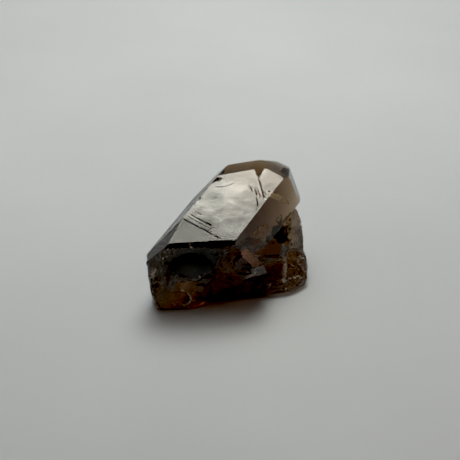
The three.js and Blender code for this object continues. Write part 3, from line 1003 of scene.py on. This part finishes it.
def veil(name, outline, depth, mat, thick=0.05, wave=0.12, seed=1):
    """A closed thin sheet under the surface, its outline given by picture points."""
    edge = []
    for (x0, y0), (x1, y1) in zip(outline, outline[1:] + outline[:1]):
        steps = max(2, int(math.hypot(x1 - x0, y1 - y0) / 1.2))
        edge += [(x0 + (x1 - x0) * k / steps, y0 + (y1 - y0) * k / steps) for k in range(steps)]
    edge = np.array(edge)
    middle = edge.mean(0)
    rings = 7
    share = np.repeat(np.arange(1, rings + 1) / rings, len(edge))
    spots = np.vstack([middle, middle + share[:, None] * (np.tile(edge, (rings, 1)) - middle)])
    share = np.concatenate([[0.0], share])
    at, n, _ = seen(spots)
    ripple = Noise(100 + seed)
    at = at - n * (depth + wave * (ripple(at / 1.1) + 0.3 * ripple(at / 0.4)))[:, None]
    half = (thick * (1 - share**2))[:, None] * n
    inner = len(spots) - len(edge)  # the outermost ring is shared by both sides
    rows = np.vstack([at + half, (at - half)[:inner]])
    m = len(edge)
    faces = []
    lower = lambda i: i if i >= inner else len(spots) + i
    for k in range(m):
        j = (k + 1) % m
        faces += [(0, 1 + k, 1 + j), tuple(lower(i) for i in (0, 1 + j, 1 + k))]
        for r in range(rings - 1):
            a, b = 1 + r * m + k, 1 + r * m + j
            c, d = a + m, b + m
            faces += [(a, c, d, b), tuple(lower(i) for i in (a, b, d, c))]
    data = bpy.data.meshes.new(name)
    data.from_pydata(((rows + SHIFT) * MM).tolist(), [], faces)
    data.polygons.foreach_set("use_smooth", np.ones(len(data.polygons), bool))
    rim = np.concatenate([share, share[:inner]])
    attribute = data.attributes.new("rim", "FLOAT", "POINT")
    attribute.data.foreach_set("value", (0.22 * np.clip((rim - 0.45) / 0.55, 0, 1) ** 2).astype(np.float32))
    bm = bmesh.new()
    bm.from_mesh(data)
    bmesh.ops.recalc_face_normals(bm, faces=bm.faces)
    bm.to_mesh(data)
    bm.free()
    data.materials.append(mat)
    o = bpy.data.objects.new(name, data)
    bpy.context.scene.collection.objects.link(o)
    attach(o, "root")
    return o


# the golden sheet is an inner crack; its bright pale golden colour paints the lamp's glint off that crack
GOLD_GLINT = veil_material("golden_glint_veil", (0.50, 0.33, 0.14), (1.0, 0.90, 0.58), 1900.0, 0.26, 0.35)
AMBER = veil_material("amber_veil", (0.16, 0.07, 0.015), (0.50, 0.28, 0.08), 800.0, 0.19, 0.4)

veil("golden_glint_veil", [(270.5, 191.5), (277, 193), (284, 197), (290, 201.5), (289, 205), (281, 202.5), (274, 199), (269, 196)], 0.16, GOLD_GLINT, wave=0.08, seed=1)
veil("amber_veil_1", [(253, 233), (258, 228), (264, 224), (268.5, 224.5), (267, 231), (262, 237), (255, 240)], 0.2, AMBER, wave=0.1, seed=2)
veil("amber_veil_2", [(260, 236), (265, 233), (268, 236), (265, 241), (260, 241)], 0.2, AMBER, wave=0.1, seed=3)

# ---------------------------------------------------------------- stage, light and camera


def floor_material():
    mat = bpy.data.materials.new("pale_floor")
    mat.use_nodes = True
    t = mat.node_tree
    bsdf = t.nodes["Principled BSDF"]
    where = node(t, "ShaderNodeTexCoord")
    n = node(t, "ShaderNodeTexNoise")
    n.inputs["Scale"].default_value = 9.0
    n.inputs["Detail"].default_value = 6.0
    ramp = node(t, "ShaderNodeValToRGB")
    ramp.color_ramp.elements[0].position = 0.3
    ramp.color_ramp.elements[0].color = (0.50, 0.535, 0.585, 1)
    ramp.color_ramp.elements[1].position = 0.7
    ramp.color_ramp.elements[1].color = (0.55, 0.585, 0.635, 1)
    t.links.new(where.outputs["Object"], n.inputs["Vector"])
    t.links.new(n.outputs["Fac"], ramp.inputs["Fac"])
    t.links.new(ramp.outputs["Color"], bsdf.inputs["Base Color"])
    bsdf.inputs["Roughness"].default_value = 0.75
    bsdf.inputs["Specular IOR Level"].default_value = 0.25
    return mat


bm = bmesh.new()
bmesh.ops.create_grid(bm, x_segments=8, y_segments=8, size=2.0)
floor_mesh = bpy.data.meshes.new("floor")
bm.to_mesh(floor_mesh)
bm.free()
floor_mesh.materials.append(floor_material())
floor = bpy.data.objects.new("floor", floor_mesh)
floor.location = (0, 0, -0.00003)
bpy.context.scene.collection.objects.link(floor)


def softbox(name, place, half, levels, colour):
    """A level glowing panel, brightest in the middle: levels are (distance from the middle / half, strength)."""
    bm = bmesh.new()
    bmesh.ops.create_grid(bm, x_segments=6, y_segments=6, size=half)
    bmesh.ops.reverse_faces(bm, faces=bm.faces)
    data = bpy.data.meshes.new(name)
    bm.to_mesh(data)
    bm.free()
    mat = bpy.data.materials.new(name)
    mat.use_nodes = True
    t = mat.node_tree
    t.nodes.clear()
    where = node(t, "ShaderNodeTexCoord")
    length = node(t, "ShaderNodeVectorMath", operation="LENGTH")
    share = node(t, "ShaderNodeMath", operation="DIVIDE")
    share.inputs[1].default_value = half
    peak = max(v for _, v in levels)
    ramp = node(t, "ShaderNodeValToRGB")
    ramp.color_ramp.interpolation = "EASE"
    while len(ramp.color_ramp.elements) < len(levels):
        ramp.color_ramp.elements.new(0.5)
    for e, (at, v) in zip(ramp.color_ramp.elements, levels):
        e.position = at
        e.color = (v / peak, v / peak, v / peak, 1)
    gain = node(t, "ShaderNodeMath", operation="MULTIPLY")
    gain.inputs[1].default_value = peak
    glow = node(t, "ShaderNodeEmission")
    glow.inputs["Color"].default_value = (*colour, 1)
    out = node(t, "ShaderNodeOutputMaterial")
    t.links.new(where.outputs["Object"], length.inputs[0])
    t.links.new(length.outputs["Value"], share.inputs[0])
    t.links.new(share.outputs["Value"], ramp.inputs["Fac"])
    t.links.new(ramp.outputs["Color"], gain.inputs[0])
    t.links.new(gain.outputs["Value"], glow.inputs["Strength"])
    t.links.new(glow.outputs["Emission"], out.inputs["Surface"])
    data.materials.append(mat)
    o = bpy.data.objects.new(name, data)
    o.location = place
    bpy.context.scene.collection.objects.link(o)
    return o


softbox("key_panel", (0.012, 0.190, 0.44), 0.30, [(0.25, 8.9), (0.34, 5.0), (0.52, 4.1), (0.9, 0.0)], (1.0, 0.98, 0.87))

softbox("fill_panel", (0.29, -0.11, 0.40), 0.18, [(0.10, 2.4), (0.38, 0.72), (0.70, 0.0)], (1.0, 0.62, 0.44))

world = bpy.data.worlds.new("studio")
world.use_nodes = True
t = world.node_tree
where = node(t, "ShaderNodeTexCoord")
side = node(t, "ShaderNodeVectorMath", operation="DOT_PRODUCT")
side.inputs[1].default_value = (-0.45, 0.89, 0.0)
fade = node(t, "ShaderNodeMapRange", interpolation_type="SMOOTHSTEP")
fade.inputs["From Min"].default_value = -0.25
fade.inputs["From Max"].default_value = 0.65
fade.inputs["To Min"].default_value = 0.015
fade.inputs["To Max"].default_value = 0.30
t.links.new(where.outputs["Generated"], side.inputs[0])
t.links.new(side.outputs["Value"], fade.inputs["Value"])
warm = node(t, "ShaderNodeMapRange", interpolation_type="SMOOTHSTEP")  # a warm wall on the right
warm.inputs["From Min"].default_value = 0.45
warm.inputs["From Max"].default_value = 0.95
warm.inputs["To Max"].default_value = 0.60
apart = node(t, "ShaderNodeSeparateXYZ")
t.links.new(where.outputs["Generated"], apart.inputs["Vector"])
t.links.new(apart.outputs["X"], warm.inputs["Value"])
both = node(t, "ShaderNodeMath", operation="MAXIMUM")
t.links.new(fade.outputs["Result"], both.inputs[0])
low_band = node(t, "ShaderNodeMapRange", interpolation_type="SMOOTHSTEP")
low_band.inputs["From Min"].default_value = 0.45
low_band.inputs["From Max"].default_value = 0.18
t.links.new(apart.outputs["Z"], low_band.inputs["Value"])
low_warm = node(t, "ShaderNodeMath", operation="MULTIPLY")
t.links.new(warm.outputs["Result"], low_warm.inputs[0])
t.links.new(low_band.outputs["Result"], low_warm.inputs[1])
t.links.new(low_warm.outputs["Value"], both.inputs[1])
t.links.new(both.outputs["Value"], t.nodes["Background"].inputs["Strength"])
wall = node(t, "ShaderNodeMix", data_type="RGBA")
wall.inputs[6].default_value = (0.96, 0.98, 1.0, 1)
wall.inputs[7].default_value = (1.0, 0.58, 0.41, 1)
full = node(t, "ShaderNodeMapRange", interpolation_type="SMOOTHSTEP")
full.inputs["From Min"].default_value = 0.35
full.inputs["From Max"].default_value = 0.7
t.links.new(apart.outputs["X"], full.inputs["Value"])
t.links.new(full.outputs["Result"], wall.inputs[0])
t.links.new(wall.outputs[2], t.nodes["Background"].inputs["Color"])
bpy.context.scene.world = world

cam = bpy.data.cameras.new("camera")
cam.lens = 74.35
cam.sensor_width = 36.0
cam.sensor_fit = "HORIZONTAL"
cam.clip_start = 0.01
camera = bpy.data.objects.new("camera", cam)
camera.location = (EYE + SHIFT) * MM
camera.rotation_euler = (TILT, 0, 0)
bpy.context.scene.collection.objects.link(camera)
bpy.context.scene.camera = camera
look = bpy.context.scene.view_settings
look.view_transform = "Standard"
look.use_curve_mapping = True
look.curve_mapping.black_level = (0.0155, 0.0155, 0.0155)
look.curve_mapping.update()

bpy.context.view_layer.update()
